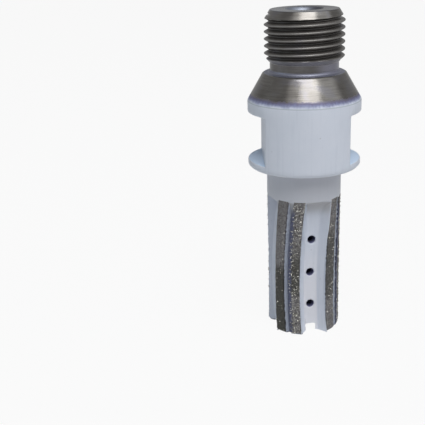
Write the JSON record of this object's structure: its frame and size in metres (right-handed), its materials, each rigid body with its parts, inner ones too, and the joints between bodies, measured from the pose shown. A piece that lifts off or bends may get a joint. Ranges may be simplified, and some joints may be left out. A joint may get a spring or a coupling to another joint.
{
  "type": "cnc finger bit",
  "caption": "Stone-cutting finger bit: slender fluted cutter with brazed diamond segments, wrench flats, conical seat and pipe-threaded shank.",
  "frame": {"origin": "centre of the cutting end, on the plane through the tips of the segments", "axes": "+Z along the tool's axis towards the threaded end; the two wrench flats face +X and -X"},
  "size_m": [0.03, 0.03, 0.0881],
  "materials": {
    "white_paint": "satin cool white paint over steel, with the thread, undercut and seat cone left as bare turned steel",
    "diamond_segment": "rough sintered metal full of diamond grit"
  },
  "bodies": {
    "root": {"tool_body": "white_paint", "segment_1": "diamond_segment", "segment_2": "diamond_segment", "segment_3": "diamond_segment", "segment_4": "diamond_segment", "segment_5": "diamond_segment", "segment_6": "diamond_segment", "segment_7": "diamond_segment", "segment_8": "diamond_segment"}
  },
  "joints": []
}
